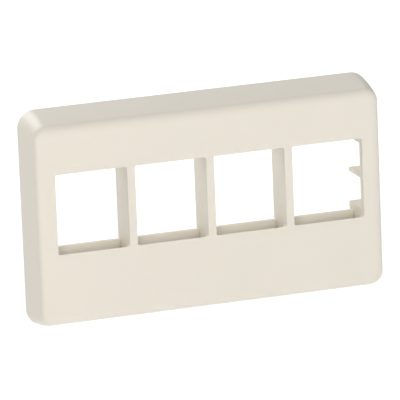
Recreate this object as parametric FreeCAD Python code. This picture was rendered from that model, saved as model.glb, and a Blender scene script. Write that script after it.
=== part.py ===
import FreeCAD, Part
import math
import os

# A snap-in faceplate for modular furniture, with a row of keystone ports, moulded in one piece.
# Millimetres. X runs along the port row, Y from the front to the back and Z up.
# The origin is the centre of the plane in which the rim seats on the furniture panel.

# The cut-out in the furniture panel that the plate fills.
CUTOUT_WIDTH = 68.6
CUTOUT_HEIGHT = 34.9

# Shell: a shallow tray, open at the back, whose walls flare from the face out to the rim.
# The face runs into the walls by a soft edge, which reaches further along the face than into the depth.
END_OVERLAP = 2.55
LONG_OVERLAP = 4.5
END_FLARE = 0.85
LONG_FLARE = 2.1
LONG_BULGE = 0.25
SHELL_DEPTH = 8.6
FACE_CORNER_RADIUS = 2.5
RIM_CORNER_RADIUS = 3.6
FACE_EDGE_REACH = 2.0
FACE_EDGE_DROP = 1.2
FRONT_WALL = 1.6
SIDE_WALL = 1.5
INNER_CORNER_RADIUS = 1.8
INNER_EDGE_RADIUS = 0.7

# Ports: a row of keystone apertures, set a little above the middle of the face.
PORT_COUNT = 4
PORT_WIDTH = 14.9
PORT_HEIGHT = 16.2
PORT_PITCH = 16.5
PORT_RISE = 2.2
PORT_CORNER_RADIUS = 0.4

# Port box: what holds each jack, behind the face.
BOX_DEPTH = 7.7
BOX_WALL = 1.2
LUG_POCKET_DROP = 2.0
LUG_BAR_THICKNESS = 1.2
LUG_BAR_CHAMFER = 0.35
LATCH_POCKET_RISE = 3.0
LATCH_BAR_THICKNESS = 1.8
LATCH_BAR_DROP = 1.5
LATCH_BAR_CHAMFER = 1.0
DRAFT_DEGREES = 0.5

# Guides at the outer side of the two end ports.
GUIDE_DEPTH = 8.4
GUIDE_WALL = 1.2
LOWER_LEDGE_RISE = 1.5
UPPER_LEDGE_DROP = 1.25
GUIDE_WEB_THICKNESS = 0.7
GUIDE_WEB_RADIUS = 1.5

# Stiffening ribs from the port box to the long walls.
RIB_THICKNESS = 1.0
RIB_DEPTH = 5.6

# Snap arms, which hold the plate in the cut-out.
CUTOUT_CLEARANCE = 0.25
PANEL_GRIP = 1.6
ARM_WIDTH = 8.0
ARM_ROOT_THICKNESS = 1.4
ARM_TIP_THICKNESS = 1.0
ARM_ROOT_RADIUS = 0.5
BARB_HEIGHT = 0.9
BARB_CATCH_RUN = 0.5
BARB_LEAD_RUN = 2.6
BARB_LAND = 0.5
ARM_NOSE = 0.5

# How far a piece runs into the wall that carries it, and a cut past the face that it opens.
BITE = 0.4
PAST = 1.0

# Planes closer than this are the same one.
TOUCH = 1e-5

# Shares of a curve at which the outside of the shell gets an outline.
WALL_SHARES = (0, 0.5, 1)
EDGE_SHARES = (0, 0.33, 0.67, 1)

# Sizes, heights and places that follow from the sizes above.
RIM_WIDTH = CUTOUT_WIDTH + 2 * END_OVERLAP
RIM_HEIGHT = CUTOUT_HEIGHT + 2 * LONG_OVERLAP
FACE_WIDTH = RIM_WIDTH - 2 * END_FLARE
FACE_HEIGHT = RIM_HEIGHT - 2 * LONG_FLARE
PORT_LOW = PORT_RISE - PORT_HEIGHT / 2
PORT_HIGH = PORT_RISE + PORT_HEIGHT / 2
POCKET_LOW = PORT_LOW - LUG_POCKET_DROP
POCKET_HIGH = PORT_HIGH + LATCH_POCKET_RISE
BOX_LOW = POCKET_LOW - BOX_WALL
BOX_HIGH = POCKET_HIGH + BOX_WALL
PORT_CENTRES = [(n - (PORT_COUNT - 1) / 2) * PORT_PITCH for n in range(PORT_COUNT)]
PARTITION_CENTRES = [x + PORT_PITCH / 2 for x in PORT_CENTRES[:-1]]
ROW_HALF = PORT_CENTRES[-1] + PORT_WIDTH / 2
ARM_FACE = CUTOUT_HEIGHT / 2 - CUTOUT_CLEARANCE
INSIDE = FRONT_WALL - BITE


def behind(depth):
    """Y of a plane at a depth behind the face."""
    return depth - SHELL_DEPTH


def extrude(points, direction):
    """Prism on a closed outline of points."""
    outline = Part.makePolygon(points + [points[0]])
    return Part.Face(outline).extrude(direction)


def side_profile(points, x_low, x_high):
    """Prism along X on an outline of (depth, z) points."""
    outline = [FreeCAD.Vector(x_low, behind(depth), z) for depth, z in points]
    return extrude(outline, FreeCAD.Vector(x_high - x_low, 0, 0))


def plan_profile(points, z_low, z_high):
    """Prism along Z on an outline of (x, depth) points."""
    outline = [FreeCAD.Vector(x, behind(depth), z_low) for x, depth in points]
    return extrude(outline, FreeCAD.Vector(0, 0, z_high - z_low))


def rounded_rectangle(width, height, radius, y, x_mid=0.0, z_mid=0.0):
    """Closed wire of four arcs and four straight edges in the plane at y."""
    arcs = []
    for quarter in range(4):
        x_sign = 1 if quarter in (0, 3) else -1
        z_sign = 1 if quarter in (0, 1) else -1
        x_arc = x_mid + x_sign * (width / 2 - radius)
        z_arc = z_mid + z_sign * (height / 2 - radius)
        angles = [math.radians(90 * quarter + turn) for turn in (0, 45, 90)]
        points = [FreeCAD.Vector(x_arc + radius * math.cos(a), y, z_arc + radius * math.sin(a)) for a in angles]
        arcs.append(Part.Arc(*points))
    edges = []
    for number, arc in enumerate(arcs):
        following = arcs[(number + 1) % 4]
        edges.append(arc.toShape())
        edges.append(Part.LineSegment(arc.EndPoint, following.StartPoint).toShape())
    return Part.Wire(edges)


def between(face_value, rim_value, depth):
    """A size of the flared shell at a depth behind the face, from its values at the face and at the rim."""
    return face_value + (rim_value - face_value) * depth / SHELL_DEPTH


def shell_corners(depth, inset):
    """Sharp corners of the flared shell's outline at a depth, moved inwards by the inset."""
    half_width = between(FACE_WIDTH, RIM_WIDTH, depth) / 2 - inset
    half_height = between(FACE_HEIGHT, RIM_HEIGHT, depth) / 2 - inset
    signs = ((1, 1), (-1, 1), (-1, -1), (1, -1))
    return [FreeCAD.Vector(x * half_width, behind(depth), z * half_height) for x, z in signs]


def edges_at(shape, y):
    """Edges of a shape that lie in the plane at y."""
    return [e for e in shape.Edges if abs(e.BoundBox.YMin - y) < TOUCH and abs(e.BoundBox.YMax - y) < TOUCH]


def flared_block(depth_front, depth_back, inset):
    """Solid with four flat flared sides and sharp corners."""
    front = shell_corners(depth_front, inset)
    back = shell_corners(depth_back, inset)
    outlines = [front, back]
    for number in range(4):
        following = (number + 1) % 4
        outlines.append([front[number], front[following], back[following], back[number]])
    faces = [Part.Face(Part.makePolygon(points + [points[0]])) for points in outlines]
    return Part.makeSolid(Part.makeShell(faces))


def wall_sizes(depth):
    """Width, height and corner radius of the outer wall at a depth. The long walls bulge a little."""
    share = depth / SHELL_DEPTH
    width = between(FACE_WIDTH, RIM_WIDTH, depth)
    height = between(FACE_HEIGHT, RIM_HEIGHT, depth) + 2 * LONG_BULGE * 4 * share * (1 - share)
    return width, height, between(FACE_CORNER_RADIUS, RIM_CORNER_RADIUS, depth)


def edge_outline(share):
    """Outline of the face's soft edge, at a share of its curve from the wall onto the face."""
    off, along, onto = (1 - share) ** 2, 2 * share * (1 - share), share ** 2
    start = wall_sizes(FACE_EDGE_DROP)
    corner = wall_sizes(0)
    end = (FACE_WIDTH - 2 * FACE_EDGE_REACH, FACE_HEIGHT - 2 * FACE_EDGE_REACH, FACE_CORNER_RADIUS - FACE_EDGE_REACH)
    width, height, radius = [off * a + along * b + onto * c for a, b, c in zip(start, corner, end)]
    return rounded_rectangle(width, height, radius, behind(off * FACE_EDGE_DROP))


def wall_outline(share):
    """Outline of the outer wall, at a share of the way from the rim to the face's soft edge."""
    depth = SHELL_DEPTH + (FACE_EDGE_DROP - SHELL_DEPTH) * share
    return rounded_rectangle(*wall_sizes(depth), behind(depth))


def shell_outside():
    """The outside of the shell as a filled block."""
    wall = Part.makeLoft([wall_outline(share) for share in WALL_SHARES], True, False)
    edge = Part.makeLoft([edge_outline(share) for share in EDGE_SHARES], True, False)
    return wall.fuse(edge)


def tray():
    """The open shell: flared walls, a soft edge to the face and rounded inner corners."""
    inner = flared_block(FRONT_WALL, SHELL_DEPTH + PAST, SIDE_WALL)
    corners = [edge for edge in inner.Edges if edge.BoundBox.YLength > SHELL_DEPTH / 2]
    inner = inner.makeFillet(INNER_CORNER_RADIUS, corners)
    inner = inner.makeFillet(INNER_EDGE_RADIUS, edges_at(inner, behind(FRONT_WALL)))
    return shell_outside().cut(inner)


def upright_web(x_mid, thickness, depth, z_low, z_high):
    """Vertical web that stands on the face wall and thins with the draft towards its back edge."""
    loss = math.tan(math.radians(DRAFT_DEGREES)) * (depth - INSIDE)
    front = thickness / 2
    back = front - loss
    points = [(x_mid - front, INSIDE), (x_mid + front, INSIDE), (x_mid + back, depth), (x_mid - back, depth)]
    return plan_profile(points, z_low, z_high)


def level_wall(z_inner, away, x_low, x_high, thickness, depth):
    """Level wall whose outer side has the draft. away is 1 for a wall above z_inner and -1 for one below."""
    loss = math.tan(math.radians(DRAFT_DEGREES)) * (depth - INSIDE)
    z_front = z_inner + away * thickness
    z_back = z_front - away * loss
    points = [(INSIDE, z_inner), (depth, z_inner), (depth, z_back), (INSIDE, z_front)]
    return side_profile(points, x_low, x_high)


def partitions():
    """The bars between neighbouring ports, as deep as the port box."""
    thickness = PORT_PITCH - PORT_WIDTH
    return [upright_web(x, thickness, BOX_DEPTH, BOX_LOW + BITE, BOX_HIGH - BITE) for x in PARTITION_CENTRES]


def lug_bar():
    """Bar below the ports, behind which a jack's fixed lug hooks. Its top is level with the ports' lower edge."""
    front = BOX_DEPTH - LUG_BAR_THICKNESS
    low = POCKET_LOW - BITE
    points = [(front, low), (front, PORT_LOW), (BOX_DEPTH - LUG_BAR_CHAMFER, PORT_LOW),
              (BOX_DEPTH, PORT_LOW - LUG_BAR_CHAMFER), (BOX_DEPTH, low)]
    return side_profile(points, -ROW_HALF - BITE, ROW_HALF + BITE)


def latch_bar():
    """Bar above the ports that a jack's spring latch snaps over, with a slope to ride up from behind."""
    front = BOX_DEPTH - LATCH_BAR_THICKNESS
    high = POCKET_HIGH + BITE
    low = POCKET_HIGH - LATCH_BAR_DROP
    points = [(front, high), (front, low), (BOX_DEPTH - LATCH_BAR_CHAMFER, low),
              (BOX_DEPTH, low + LATCH_BAR_CHAMFER), (BOX_DEPTH, high)]
    return side_profile(points, -ROW_HALF - BITE, ROW_HALF + BITE)


def guide_web(side):
    """Thin level web at mid height of an end port, with its free back corner rounded."""
    inner = side * ROW_HALF
    outer = side * RIM_WIDTH / 2
    radius = GUIDE_WEB_RADIUS
    low = PORT_RISE - GUIDE_WEB_THICKNESS / 2
    turn = radius * (1 - math.sqrt(0.5))

    def at(x, depth):
        return FreeCAD.Vector(x, behind(depth), low)

    corner = Part.Arc(at(inner, GUIDE_DEPTH - radius),
                      at(inner + side * turn, GUIDE_DEPTH - turn),
                      at(inner + side * radius, GUIDE_DEPTH))
    edges = [
        corner.toShape(),
        Part.LineSegment(corner.EndPoint, at(outer, GUIDE_DEPTH)).toShape(),
        Part.LineSegment(at(outer, GUIDE_DEPTH), at(outer, INSIDE)).toShape(),
        Part.LineSegment(at(outer, INSIDE), at(inner, INSIDE)).toShape(),
        Part.LineSegment(at(inner, INSIDE), corner.StartPoint).toShape(),
    ]
    return Part.Face(Part.Wire(edges)).extrude(FreeCAD.Vector(0, 0, GUIDE_WEB_THICKNESS))


def end_guides(side):
    """Corner cells and the web that guide a jack at the outer side of an end port. side is -1 or 1."""
    inner = side * ROW_HALF
    outer = side * RIM_WIDTH / 2
    x_low, x_high = min(inner, outer), max(inner, outer)
    wall_mid = inner + side * GUIDE_WALL / 2
    lower_ledge = PORT_LOW + LOWER_LEDGE_RISE
    upper_ledge = PORT_HIGH - UPPER_LEDGE_DROP
    return [
        level_wall(lower_ledge, -1, x_low, x_high, GUIDE_WALL, GUIDE_DEPTH),
        level_wall(upper_ledge, 1, x_low, x_high, GUIDE_WALL, GUIDE_DEPTH),
        upright_web(wall_mid, GUIDE_WALL, GUIDE_DEPTH, BOX_LOW + BITE, lower_ledge),
        upright_web(wall_mid, GUIDE_WALL, GUIDE_DEPTH, upper_ledge, BOX_HIGH - BITE),
        guide_web(side),
    ]


def long_box_walls():
    """The walls below and above all the pockets, from one end wall of the shell to the other."""
    half = RIM_WIDTH / 2
    return [
        level_wall(POCKET_LOW, -1, -half, half, BOX_WALL, BOX_DEPTH),
        level_wall(POCKET_HIGH, 1, -half, half, BOX_WALL, BOX_DEPTH),
    ]


def stiffening_ribs():
    """Ribs in line with the partitions, from the port box to the long walls of the shell."""
    ribs = []
    half = RIM_HEIGHT / 2
    for x in PARTITION_CENTRES:
        ribs.append(upright_web(x, RIB_THICKNESS, RIB_DEPTH, -half, BOX_LOW + BITE))
        ribs.append(upright_web(x, RIB_THICKNESS, RIB_DEPTH, BOX_HIGH - BITE, half))
    return ribs


def cove(z_face, outwards, x_low, x_high):
    """Hollow fillet in the corner between the face wall and an arm's side at z_face. outwards is 1 or -1 along Z."""
    radius = ARM_ROOT_RADIUS
    near = radius * (1 - math.sqrt(0.5))

    def at(depth, rise):
        return FreeCAD.Vector(x_low, behind(FRONT_WALL + depth), z_face + outwards * rise)

    curve = Part.Arc(at(radius, 0), at(near, near), at(0, radius))
    heel = at(-BITE, -BITE)
    edges = [
        curve.toShape(),
        Part.LineSegment(curve.EndPoint, at(-BITE, radius)).toShape(),
        Part.LineSegment(at(-BITE, radius), heel).toShape(),
        Part.LineSegment(heel, at(radius, -BITE)).toShape(),
        Part.LineSegment(at(radius, -BITE), curve.StartPoint).toShape(),
    ]
    return Part.Face(Part.Wire(edges)).extrude(FreeCAD.Vector(x_high - x_low, 0, 0))


def snap_arm(x_mid, away):
    """Springy arm with a barb that grips behind the panel. away is 1 for the upper long side, -1 for the lower."""
    catch = SHELL_DEPTH + PANEL_GRIP
    crest = catch + BARB_CATCH_RUN
    land = crest + BARB_LAND
    tip = land + BARB_LEAD_RUN
    profile = [
        (INSIDE, ARM_FACE),
        (catch, ARM_FACE),
        (crest, ARM_FACE + BARB_HEIGHT),
        (land, ARM_FACE + BARB_HEIGHT),
        (tip, ARM_FACE - ARM_NOSE),
        (tip, ARM_FACE - ARM_TIP_THICKNESS),
        (FRONT_WALL, ARM_FACE - ARM_ROOT_THICKNESS),
        (INSIDE, ARM_FACE - ARM_ROOT_THICKNESS),
    ]
    points = [(depth, away * z) for depth, z in profile]
    x_low, x_high = x_mid - ARM_WIDTH / 2, x_mid + ARM_WIDTH / 2
    outer_cove = cove(away * ARM_FACE, away, x_low, x_high)
    inner_cove = cove(away * (ARM_FACE - ARM_ROOT_THICKNESS), -away, x_low, x_high)
    return side_profile(points, x_low, x_high).fuse([outer_cove, inner_cove])


def snap_arms():
    """Two arms on each long side, in line with the end ports."""
    return [snap_arm(x, away) for x in (PORT_CENTRES[0], PORT_CENTRES[-1]) for away in (-1, 1)]


def port_cutter(x_mid):
    """Rounded prism that opens one port through the face wall."""
    front = rounded_rectangle(PORT_WIDTH, PORT_HEIGHT, PORT_CORNER_RADIUS, behind(-PAST), x_mid, PORT_RISE)
    return Part.Face(front).extrude(FreeCAD.Vector(0, FRONT_WALL + PAST, 0))


def faceplate():
    """The whole moulding as one solid."""
    envelope = flared_block(0, SHELL_DEPTH, SIDE_WALL / 2)
    inside = long_box_walls() + partitions() + [lug_bar(), latch_bar()] + stiffening_ribs()
    for side in (-1, 1):
        inside += end_guides(side)
    body = tray()
    body = body.fuse([piece.common(envelope) for piece in inside] + snap_arms())
    for x in PORT_CENTRES:
        body = body.cut(port_cutter(x))
    return body.removeSplitter()


def main():
    os.makedirs("parts", exist_ok=True)
    body = faceplate()
    solids = body.Solids
    print("valid", body.isValid(), "solids", len(solids), "volume", round(body.Volume, 2))
    box = body.BoundBox
    print("size", round(box.XLength, 3), round(box.YLength, 3), round(box.ZLength, 3))
    solids[0].exportStep("parts/faceplate.step")


main()
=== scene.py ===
import math

import bmesh
import bpy
from bpy.props import FloatProperty, FloatVectorProperty, IntProperty, PointerProperty
from mathutils import Matrix, Vector


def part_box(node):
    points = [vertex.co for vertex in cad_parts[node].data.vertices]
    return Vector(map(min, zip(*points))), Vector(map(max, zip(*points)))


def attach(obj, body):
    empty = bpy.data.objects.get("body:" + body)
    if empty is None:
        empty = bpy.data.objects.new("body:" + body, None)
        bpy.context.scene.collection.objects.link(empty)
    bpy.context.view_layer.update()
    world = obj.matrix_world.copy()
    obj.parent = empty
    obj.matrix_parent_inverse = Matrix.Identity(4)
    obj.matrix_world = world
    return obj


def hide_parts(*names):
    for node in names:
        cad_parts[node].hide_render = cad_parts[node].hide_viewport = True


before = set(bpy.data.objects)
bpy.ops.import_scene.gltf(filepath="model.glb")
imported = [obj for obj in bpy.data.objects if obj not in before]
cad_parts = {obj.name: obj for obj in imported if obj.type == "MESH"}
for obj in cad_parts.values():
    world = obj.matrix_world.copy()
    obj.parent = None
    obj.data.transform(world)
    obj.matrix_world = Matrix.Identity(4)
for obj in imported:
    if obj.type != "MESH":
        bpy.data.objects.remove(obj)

bl_info = {
    "name": "Keystone faceplate looks",
    "version": (1, 0, 0),
    "blender": (4, 5, 0),
    "location": "3D View > Sidebar > Faceplate",
    "description": "Dresses the packed furniture faceplate: moulded skin, tool marks, light and camera",
    "category": "Object",
}

MM = 0.001
BODY = "root"
NODE = "faceplate"
CAD_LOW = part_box(NODE)[0]
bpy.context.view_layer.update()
PLASTIC = "abs_spark_eroded_almond"

# The photograph's frame, and the focal length that its vanishing lines give. The clips are in metres.
IMAGE_SIDE_PX = 400
FOCAL_PX = 5439
SENSOR_MM = 36.0
NEAR_CLIP = 0.01
FAR_CLIP = 20

# Where the moulding's own features lie, in millimetres in the row frame. The face is at -Y and the rim at y = 0.
FACE_Y = -8.6
FLOOR_Y = -7.0
PORT_CENTRES = (-24.75, -8.25, 8.25, 24.75)
PORT_HALF_WIDTH = 7.45
PORT_LOW = -5.9
PORT_CORNER = 0.4
WEB_MIDDLE = 2.2
WEB_HALF_THICKNESS = 0.35
WEB_TIP = (32.2, -0.2)
WEB_TIP_RADIUS = 1.5

# A point this near to a feature belongs to it, in millimetres. Points this close are one point, and faces that turn
# by less than this angle are one face.
NEAR = 0.02
SAME_POINT = 0.0005 * MM
SAME_PLANE = math.radians(0.2)

# Middles of the ejector pins, across and up: four below the ports and four above, clear of ribs and snap arms.
EJECTOR_PINS = (
    (-24.75, -12.4), (-8.25, -12.4), (8.25, -12.4), (24.75, -12.4),
    (-31.6, 16.8), (-8.25, 16.8), (8.25, 16.8), (31.6, 16.8),
)
FLASH_SIDES = 8

# Middle of the gate, across and up: beside the middle rib, where the melt reaches both halves alike. The stub narrows
# to a share of its foot, and its torn top leans to one side and rises a little towards both edges.
GATE_PLACE = (3.2, -15.6)
GATE_SIDES = 20
GATE_TOP_SHARE = 0.75
GATE_LEAN = 0.25
GATE_RAGGED = 0.4

# The grain: how much finer the small pits are than the large ones, and how much the large ones count.
FINE_GRAIN = 1.7
LARGE_PIT_WEIGHT = 0.7

# Half the side of the table top, in metres. It ends where the softboxes' light does, so that a level view shows no
# dark floor behind the plate.
TABLE_HALF_SIDE = 1.2

# The room is bright up to the first steepness and dim from the second, as the height of a direction one metre long.
BRIGHT_UP_TO = 0.06
DIM_FROM = 0.2

# Softboxes: name, place in metres, side in metres, power in watts and colour. Each is aimed at the plate.
SOFTBOXES = (
    ("camera_softbox", (-0.3, -1.3, 0.5), 0.8, 3.5, "#FFF7F1"),
    ("left_softbox", (-0.5, -1.2, 0.27), 0.5, 5.2, "#FFF9F1"),
    ("right_softbox", (0.9, -1.0, 0.27), 0.5, 1.8, "#FFFFFF"),
    ("overhead_softbox", (0.1, -0.7, 1.2), 0.8, 5.4, "#F4FAFF"),
    ("rear_softbox", (-0.3, 0.9, 0.9), 0.8, 16.6, "#FFFEFC"),
)


def linear(hex_colour):
    """An sRGB hex colour as linear red, green, blue and alpha."""
    channels = [int(hex_colour[i:i + 2], 16) / 255 for i in (1, 3, 5)]
    values = [c / 12.92 if c <= 0.04045 else ((c + 0.055) / 1.055) ** 2.4 for c in channels]
    return (*values, 1.0)


class FACEPLATE_PG_moulding(bpy.types.PropertyGroup):
    """Sizes and colours of the moulded plastic."""

    smooth_angle: FloatProperty(name="Smooth angle", description="Edges that turn by less shade as one rounded surface",
                                default=math.radians(28), subtype="ANGLE")
    edge_radius: FloatProperty(name="Edge radius", description="Break that the mould leaves on every sharp edge",
                               default=0.07 * MM, min=0.0, unit="LENGTH", precision=5)
    sill_drop: FloatProperty(name="Sill drop", description="How far each port's sill falls away behind its front edge",
                             default=0.5 * MM, min=0.0, unit="LENGTH", precision=5)
    web_tip_radius: FloatProperty(name="Web tip radius", description="Radius at the free corner of each guide web",
                                  default=0.4 * MM, min=0.0, unit="LENGTH", precision=5)
    colour: FloatVectorProperty(name="Plastic colour", description="Body colour of the light almond plastic",
                                size=4, default=linear("#D5D0C6"), subtype="COLOR")
    flow_colour: FloatVectorProperty(name="Flow colour", description="Slightly paler colour where the melt met",
                                     size=4, default=linear("#D8D3C8"), subtype="COLOR")
    flow_size: FloatProperty(name="Flow size", description="Width of the faint cloudy flow marks",
                             default=14 * MM, unit="LENGTH", precision=4)
    grain_size: FloatProperty(name="Grain size", description="Distance between the pits that spark erosion left",
                              default=0.35 * MM, unit="LENGTH", precision=5)
    grain_depth: FloatProperty(name="Grain depth", description="How deep the moulded grain is",
                               default=0.008 * MM, unit="LENGTH", precision=6)


class FACEPLATE_PG_tool_marks(bpy.types.PropertyGroup):
    """Sizes of the marks that the mould's pins and gate leave inside."""

    pin_diameter: FloatProperty(name="Pin diameter", description="Diameter of an ejector pin",
                                default=3.0 * MM, unit="LENGTH", precision=4)
    pin_height: FloatProperty(name="Mark height", description="How far a pin's mark stands above the inner floor",
                              default=0.12 * MM, unit="LENGTH", precision=5)
    flash_radius: FloatProperty(name="Flash radius", description="Thickness of the thin ring of flash round a mark",
                                default=0.07 * MM, unit="LENGTH", precision=5)
    pin_sides: IntProperty(name="Mark sides", description="Straight edges round one mark", default=36, min=8)
    gate_diameter: FloatProperty(name="Gate diameter", description="Diameter of the sheared gate at its foot",
                                 default=1.4 * MM, unit="LENGTH", precision=5)
    gate_height: FloatProperty(name="Gate height", description="Height of the sheared gate",
                               default=0.45 * MM, unit="LENGTH", precision=5)


class FACEPLATE_PG_stage(bpy.types.PropertyGroup):
    """The floor, the lights and the camera."""

    azimuth: FloatProperty(name="Azimuth", description="How far the camera stands to the left of the face's middle",
                           default=math.radians(18.79), subtype="ANGLE")
    elevation: FloatProperty(name="Elevation", description="How far the camera looks down",
                             default=math.radians(14.07), subtype="ANGLE")
    roll: FloatProperty(name="Roll", description="How far the camera leans to its right",
                        default=math.radians(2.34), subtype="ANGLE")
    distance: FloatProperty(name="Distance", description="From the camera to the point that it is aimed at",
                            default=1076.8 * MM, unit="LENGTH")
    aim: FloatVectorProperty(name="Aim", description="Point in the plane of the face at the middle of the picture",
                             size=3, default=(-2.41 * MM, FACE_Y * MM, 1.75 * MM), subtype="XYZ")
    floor_drop: FloatProperty(name="Floor drop", description="How far the floor lies below the plate's rim",
                              default=40 * MM, unit="LENGTH")
    floor_colour: FloatVectorProperty(name="Floor colour", description="Pale translucent table top", size=4,
                                      default=linear("#FAFAFA"), subtype="COLOR")
    floor_glow: FloatProperty(name="Floor glow", description="Light that comes up through the table top",
                              default=0.15, min=0.0)
    wall_light: FloatProperty(name="Wall light", description="Brightness of the white room near the horizon",
                              default=1.02, min=0.0)
    ceiling_light: FloatProperty(name="Ceiling light", description="Brightness of the white room higher up",
                                 default=0.02, min=0.0)


def add_node(tree, kind, settings=None, inputs=None, links=None):
    """Adds one node, sets its attributes and socket values and links its inputs to other sockets."""
    node = tree.nodes.new(kind)
    for name, value in (settings or {}).items():
        setattr(node, name, value)
    for name, value in (inputs or {}).items():
        node.inputs[name].default_value = value
    for name, socket in (links or {}).items():
        tree.links.new(socket, node.inputs[name])
    return node


def new_material(name):
    """An empty node material with its output node."""
    material = bpy.data.materials.new(name)
    material.use_nodes = True
    material.node_tree.nodes.clear()
    output = add_node(material.node_tree, "ShaderNodeOutputMaterial")
    return material, material.node_tree, output


def moulded_abs(settings):
    """ABS moulded in a spark-eroded tool.

    Spark erosion leaves small even pits in the mould, so the plastic comes out dull, with a soft broad sheen and no
    mirror images. The melt's flow leaves very faint cloudy bands. Real pits are under 0.1 mm wide, too fine to show
    here, so the grain is drawn about four times as coarse.
    """
    material, tree, output = new_material(PLASTIC)
    place = add_node(tree, "ShaderNodeTexCoord").outputs["Object"]
    flow = add_node(tree, "ShaderNodeTexNoise",
                    inputs={"Scale": 1 / settings.flow_size, "Detail": 2.0, "Roughness": 0.4, "Distortion": 0.6},
                    links={"Vector": place})
    colour = add_node(tree, "ShaderNodeMix", settings={"data_type": "RGBA"}, links={"Factor": flow.outputs["Fac"]})
    colour.inputs["A"].default_value = settings.colour
    colour.inputs["B"].default_value = settings.flow_colour
    pits = add_node(tree, "ShaderNodeTexVoronoi",
                    settings={"feature": "SMOOTH_F1"},
                    inputs={"Scale": 1 / settings.grain_size, "Smoothness": 0.6, "Randomness": 1.0},
                    links={"Vector": place})
    fine = add_node(tree, "ShaderNodeTexNoise",
                    inputs={"Scale": FINE_GRAIN / settings.grain_size, "Detail": 2.0, "Roughness": 0.6},
                    links={"Vector": place})
    grain = add_node(tree, "ShaderNodeMath", settings={"operation": "MULTIPLY_ADD"},
                     links={0: pits.outputs["Distance"], 2: fine.outputs["Fac"]})
    grain.inputs[1].default_value = LARGE_PIT_WEIGHT
    gloss = add_node(tree, "ShaderNodeMapRange",
                     inputs={"From Min": 0.3, "From Max": 0.7, "To Min": 0.50, "To Max": 0.60},
                     links={"Value": fine.outputs["Fac"]})
    bump = add_node(tree, "ShaderNodeBump", inputs={"Strength": 1.0, "Distance": settings.grain_depth},
                    links={"Height": grain.outputs["Value"]})
    skin = add_node(tree, "ShaderNodeBsdfPrincipled", inputs={"IOR": 1.53},
                    links={"Base Color": colour.outputs["Result"], "Roughness": gloss.outputs["Result"],
                           "Normal": bump.outputs["Normal"]})
    tree.links.new(skin.outputs["BSDF"], output.inputs["Surface"])
    return material


def link_piece(name, mesh):
    """A new object at the origin that holds the mesh."""
    piece = bpy.data.objects.new(name, mesh)
    bpy.context.scene.collection.objects.link(piece)
    return piece


def finish_piece(piece, material):
    """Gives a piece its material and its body."""
    piece.data.materials.clear()
    piece.data.materials.append(material)
    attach(piece, BODY)


def bake_modifiers(piece):
    """Turns a piece with its modifiers into a plain mesh."""
    graph = bpy.context.evaluated_depsgraph_get()
    piece.data = bpy.data.meshes.new_from_object(piece.evaluated_get(graph))
    piece.modifiers.clear()


def smooth_below(mesh, angle):
    """Shades a mesh smooth, apart from the edges that turn by more than the angle."""
    mesh.shade_smooth()
    mesh.set_sharp_from_angle(angle=angle)


def ease_sills(shape, drop):
    """Lowers the back edge of each port's sill, so that the sill slopes away behind a crisp front edge."""
    for vert in shape.verts:
        x, y, z = vert.co / MM
        above = z - PORT_LOW
        if abs(y - FLOOR_Y) < NEAR and -NEAR < above < PORT_CORNER:
            if min(abs(x - middle) for middle in PORT_CENTRES) < PORT_HALF_WIDTH + NEAR:
                vert.co.z -= drop * (1 - max(above, 0) / PORT_CORNER)


def sharpen_web_tips(shape, radius):
    """Draws the round at the free corner of each guide web in to a smaller radius about the same corner."""
    share = radius / MM / WEB_TIP_RADIUS
    middle = Vector((WEB_TIP[0] + WEB_TIP_RADIUS, WEB_TIP[1] - WEB_TIP_RADIUS))
    corner = Vector(WEB_TIP)
    for vert in shape.verts:
        x, y, z = vert.co / MM
        if abs(z - WEB_MIDDLE) > WEB_HALF_THICKNESS + NEAR or abs(x) > middle.x + NEAR or y < middle.y - NEAR:
            continue
        here = Vector((abs(x), y))
        if abs((here - middle).length - WEB_TIP_RADIUS) < NEAR:
            there = corner + (here - corner) * share
            vert.co.x = math.copysign(there.x, x) * MM
            vert.co.y = there.y * MM


class FACEPLATE_OT_moulding(bpy.types.Operator):
    """Makes the visible moulding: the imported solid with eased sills, sharper web tips and broken edges"""

    bl_idname = "faceplate.moulding"
    bl_label = "Moulding"

    def execute(self, context):
        settings = context.scene.faceplate_moulding
        shape = bmesh.new()
        shape.from_mesh(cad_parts[NODE].data)
        bmesh.ops.remove_doubles(shape, verts=shape.verts, dist=SAME_POINT)
        ease_sills(shape, settings.sill_drop)
        sharpen_web_tips(shape, settings.web_tip_radius)
        bmesh.ops.dissolve_limit(shape, angle_limit=SAME_PLANE, verts=shape.verts, edges=shape.edges)
        mesh = bpy.data.meshes.new("moulded_faceplate")
        shape.to_mesh(mesh)
        shape.free()
        piece = link_piece("moulded_faceplate", mesh)
        smooth_below(mesh, settings.smooth_angle)
        edges = piece.modifiers.new("broken edges", "BEVEL")
        edges.width = settings.edge_radius
        edges.segments = 1
        edges.limit_method = "ANGLE"
        edges.angle_limit = settings.smooth_angle
        weighted = piece.modifiers.new("flat faces stay flat", "WEIGHTED_NORMAL")
        weighted.keep_sharp = True
        triangles = piece.modifiers.new("even triangles", "TRIANGULATE")
        triangles.quad_method = "BEAUTY"
        triangles.ngon_method = "BEAUTY"
        triangles.keep_custom_normals = True
        bake_modifiers(piece)
        finish_piece(piece, moulded_abs(settings))
        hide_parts(NODE)
        return {"FINISHED"}


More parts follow.
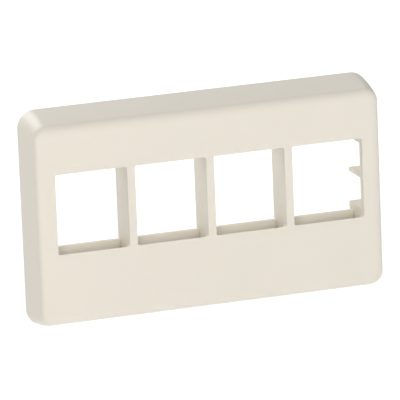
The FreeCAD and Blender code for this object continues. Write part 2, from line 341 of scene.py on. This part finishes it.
def pin_mark_tree(material):
    """Geometry Nodes that set one ejector-pin mark on every point: a low disc with a thin ring of flash."""
    tree = bpy.data.node_groups.new("ejector_pin_marks", "GeometryNodeTree")
    tree.interface.new_socket("Geometry", in_out="INPUT", socket_type="NodeSocketGeometry")
    sockets = {}
    for name, kind in (("Pin radius", "Float"), ("Mark height", "Float"), ("Flash radius", "Float"),
                       ("Mark sides", "Int")):
        sockets[name] = tree.interface.new_socket(name, in_out="INPUT", socket_type=f"NodeSocket{kind}").identifier
    tree.interface.new_socket("Geometry", in_out="OUTPUT", socket_type="NodeSocketGeometry")
    given = add_node(tree, "NodeGroupInput").outputs
    depth = add_node(tree, "ShaderNodeMath", settings={"operation": "MULTIPLY"}, links={0: given["Mark height"]})
    depth.inputs[1].default_value = 2.0
    disc = add_node(tree, "GeometryNodeMeshCylinder",
                    links={"Vertices": given["Mark sides"], "Radius": given["Pin radius"],
                           "Depth": depth.outputs["Value"]})
    ring = add_node(tree, "GeometryNodeCurvePrimitiveCircle",
                    links={"Resolution": given["Mark sides"], "Radius": given["Pin radius"]})
    section = add_node(tree, "GeometryNodeCurvePrimitiveCircle", inputs={"Resolution": FLASH_SIDES},
                       links={"Radius": given["Flash radius"]})
    flash = add_node(tree, "GeometryNodeCurveToMesh",
                     links={"Curve": ring.outputs["Curve"], "Profile Curve": section.outputs["Curve"]})
    rise = add_node(tree, "ShaderNodeCombineXYZ", links={"Z": given["Mark height"]})
    raised = add_node(tree, "GeometryNodeTransform",
                      links={"Geometry": flash.outputs["Mesh"], "Translation": rise.outputs["Vector"]})
    mark = add_node(tree, "GeometryNodeJoinGeometry")
    tree.links.new(disc.outputs["Mesh"], mark.inputs["Geometry"])
    tree.links.new(raised.outputs["Geometry"], mark.inputs["Geometry"])
    marks = add_node(tree, "GeometryNodeInstanceOnPoints", inputs={"Rotation": (-math.pi / 2, 0, 0)},
                     links={"Points": given["Geometry"], "Instance": mark.outputs["Geometry"]})
    real = add_node(tree, "GeometryNodeRealizeInstances", links={"Geometry": marks.outputs["Instances"]})
    painted = add_node(tree, "GeometryNodeSetMaterial", inputs={"Material": material},
                       links={"Geometry": real.outputs["Geometry"]})
    add_node(tree, "NodeGroupOutput", links={"Geometry": painted.outputs["Geometry"]})
    return tree, sockets


class FACEPLATE_OT_pin_marks(bpy.types.Operator):
    """Sets the marks of the ejector pins on the inner floor"""

    bl_idname = "faceplate.pin_marks"
    bl_label = "Ejector pin marks"

    def execute(self, context):
        settings = context.scene.faceplate_tool_marks
        material = bpy.data.materials[PLASTIC]
        mesh = bpy.data.meshes.new("ejector_pin_marks")
        mesh.from_pydata([(x * MM, FLOOR_Y * MM, z * MM) for x, z in EJECTOR_PINS], [], [])
        piece = link_piece("ejector_pin_marks", mesh)
        tree, sockets = pin_mark_tree(material)
        marks = piece.modifiers.new("pin marks", "NODES")
        marks.node_group = tree
        marks[sockets["Pin radius"]] = settings.pin_diameter / 2
        marks[sockets["Mark height"]] = settings.pin_height
        marks[sockets["Flash radius"]] = settings.flash_radius
        marks[sockets["Mark sides"]] = settings.pin_sides
        bake_modifiers(piece)
        smooth_below(piece.data, context.scene.faceplate_moulding.smooth_angle)
        finish_piece(piece, material)
        return {"FINISHED"}


class FACEPLATE_OT_gate_mark(bpy.types.Operator):
    """Makes the stub that is left where the gate was sheared off, on the inner floor"""

    bl_idname = "faceplate.gate_mark"
    bl_label = "Gate mark"

    def execute(self, context):
        settings = context.scene.faceplate_tool_marks
        shape = bmesh.new()
        foot = settings.gate_diameter / 2
        bmesh.ops.create_cone(shape, cap_ends=True, segments=GATE_SIDES, radius1=foot, radius2=GATE_TOP_SHARE * foot,
                              depth=2 * settings.gate_height)
        for vert in shape.verts:
            if vert.co.z > 0:
                rise = (vert.co.x + GATE_RAGGED * abs(vert.co.y)) / foot
                vert.co.z += GATE_LEAN * settings.gate_height * rise
        bmesh.ops.rotate(shape, verts=shape.verts, matrix=Matrix.Rotation(-math.pi / 2, 3, "X"))
        bmesh.ops.translate(shape, verts=shape.verts,
                            vec=(GATE_PLACE[0] * MM, FLOOR_Y * MM, GATE_PLACE[1] * MM))
        mesh = bpy.data.meshes.new("sheared_gate")
        shape.to_mesh(mesh)
        shape.free()
        smooth_below(mesh, context.scene.faceplate_moulding.smooth_angle)
        finish_piece(link_piece("sheared_gate", mesh), bpy.data.materials[PLASTIC])
        return {"FINISHED"}


class FACEPLATE_OT_stage(bpy.types.Operator):
    """Sets up the pale floor, the soft lights and the camera at the photograph's angle"""

    bl_idname = "faceplate.stage"
    bl_label = "Stage"

    def execute(self, context):
        settings = context.scene.faceplate_stage
        make_floor(settings)
        make_lights(settings)
        make_camera(settings)
        return {"FINISHED"}


def view_axes(settings):
    """Forward, right and up of the camera in the row frame."""
    a, e = settings.azimuth, settings.elevation
    forward = Vector((math.sin(a) * math.cos(e), math.cos(a) * math.cos(e), -math.sin(e)))
    level = Vector((math.cos(a), -math.sin(a), 0))
    lean = Matrix.Rotation(settings.roll, 3, forward)
    right = lean @ level
    return forward, right, right.cross(forward)


def make_camera(settings):
    """A long lens, placed as it was for the photograph."""
    forward, right, up = view_axes(settings)
    data = bpy.data.cameras.new("photo_camera")
    data.sensor_width = SENSOR_MM
    data.lens = FOCAL_PX / IMAGE_SIDE_PX * SENSOR_MM
    data.clip_start = NEAR_CLIP
    data.clip_end = FAR_CLIP
    camera = bpy.data.objects.new("photo_camera", data)
    turn = Matrix((right, up, -forward)).transposed()
    camera.matrix_world = Matrix.Translation(Vector(settings.aim) - forward * settings.distance) @ turn.to_4x4()
    bpy.context.scene.collection.objects.link(camera)
    bpy.context.scene.camera = camera


def make_floor(settings):
    """A pale table top that is faintly lit from below."""
    level = CAD_LOW.z - settings.floor_drop
    half = TABLE_HALF_SIDE
    corners = [(-half, -half, level), (half, -half, level), (half, half, level), (-half, half, level)]
    mesh = bpy.data.meshes.new("light_table")
    mesh.from_pydata(corners, [], [(0, 1, 2, 3)])
    material, tree, output = new_material("opal_acrylic_matt")
    opal = add_node(tree, "ShaderNodeBsdfPrincipled",
                    inputs={"Base Color": settings.floor_colour, "Roughness": 0.9, "Specular IOR Level": 0.1,
                            "Emission Color": (1, 1, 1, 1), "Emission Strength": settings.floor_glow})
    tree.links.new(opal.outputs["BSDF"], output.inputs["Surface"])
    mesh.materials.append(material)
    link_piece("light_table", mesh)


def add_softbox(name, place, side, power, colour):
    """A square area light aimed at the plate."""
    data = bpy.data.lights.new(name, "AREA")
    data.shape = "SQUARE"
    data.size = side
    data.energy = power
    data.color = linear(colour)[:3]
    lamp = bpy.data.objects.new(name, data)
    turn = Vector(place).to_track_quat("Z", "Y").to_matrix().to_4x4()
    lamp.matrix_world = Matrix.Translation(place) @ turn
    bpy.context.scene.collection.objects.link(lamp)


def make_lights(settings):
    """A white room whose walls are bright near the horizon, and softboxes in front, above and behind."""
    world = bpy.data.worlds.new("white_room")
    world.use_nodes = True
    tree = world.node_tree
    tree.nodes.clear()
    direction = add_node(tree, "ShaderNodeTexCoord").outputs["Generated"]
    height = add_node(tree, "ShaderNodeSeparateXYZ", links={"Vector": direction})
    tilt = add_node(tree, "ShaderNodeMath", settings={"operation": "ABSOLUTE"}, links={0: height.outputs["Z"]})
    fade = add_node(tree, "ShaderNodeMapRange",
                    inputs={"From Min": BRIGHT_UP_TO, "From Max": DIM_FROM, "To Min": settings.wall_light,
                            "To Max": settings.ceiling_light},
                    links={"Value": tilt.outputs["Value"]})
    glow = add_node(tree, "ShaderNodeBackground", inputs={"Color": (1, 1, 1, 1)},
                    links={"Strength": fade.outputs["Result"]})
    add_node(tree, "ShaderNodeOutputWorld", links={"Surface": glow.outputs["Background"]})
    bpy.context.scene.world = world
    for softbox in SOFTBOXES:
        add_softbox(*softbox)
    bpy.context.scene.view_settings.view_transform = "Standard"


class FACEPLATE_PT_sidebar(bpy.types.Panel):
    """Lists the pieces of the faceplate's looks"""

    bl_label = "Faceplate"
    bl_idname = "FACEPLATE_PT_sidebar"
    bl_space_type = "VIEW_3D"
    bl_region_type = "UI"
    bl_category = "Faceplate"

    def draw(self, context):
        for group, operators in PANEL_ROWS:
            settings = getattr(context.scene, group)
            for name in settings.__annotations__:
                self.layout.prop(settings, name)
            for operator in operators:
                self.layout.operator(operator.bl_idname)


PANEL_ROWS = (
    ("faceplate_moulding", (FACEPLATE_OT_moulding,)),
    ("faceplate_tool_marks", (FACEPLATE_OT_pin_marks, FACEPLATE_OT_gate_mark)),
    ("faceplate_stage", (FACEPLATE_OT_stage,)),
)
GROUPS = {
    "faceplate_moulding": FACEPLATE_PG_moulding,
    "faceplate_tool_marks": FACEPLATE_PG_tool_marks,
    "faceplate_stage": FACEPLATE_PG_stage,
}
CLASSES = (
    *GROUPS.values(),
    FACEPLATE_OT_moulding,
    FACEPLATE_OT_pin_marks,
    FACEPLATE_OT_gate_mark,
    FACEPLATE_OT_stage,
    FACEPLATE_PT_sidebar,
)


def register():
    for cls in CLASSES:
        bpy.utils.register_class(cls)
    for name, group in GROUPS.items():
        setattr(bpy.types.Scene, name, PointerProperty(type=group))


def unregister():
    for name in GROUPS:
        delattr(bpy.types.Scene, name)
    for cls in reversed(CLASSES):
        bpy.utils.unregister_class(cls)


def main():
    """Builds every piece and the stage."""
    register()
    bpy.ops.faceplate.moulding()
    bpy.ops.faceplate.pin_marks()
    bpy.ops.faceplate.gate_mark()
    bpy.ops.faceplate.stage()


if __name__ == "__main__":
    main()
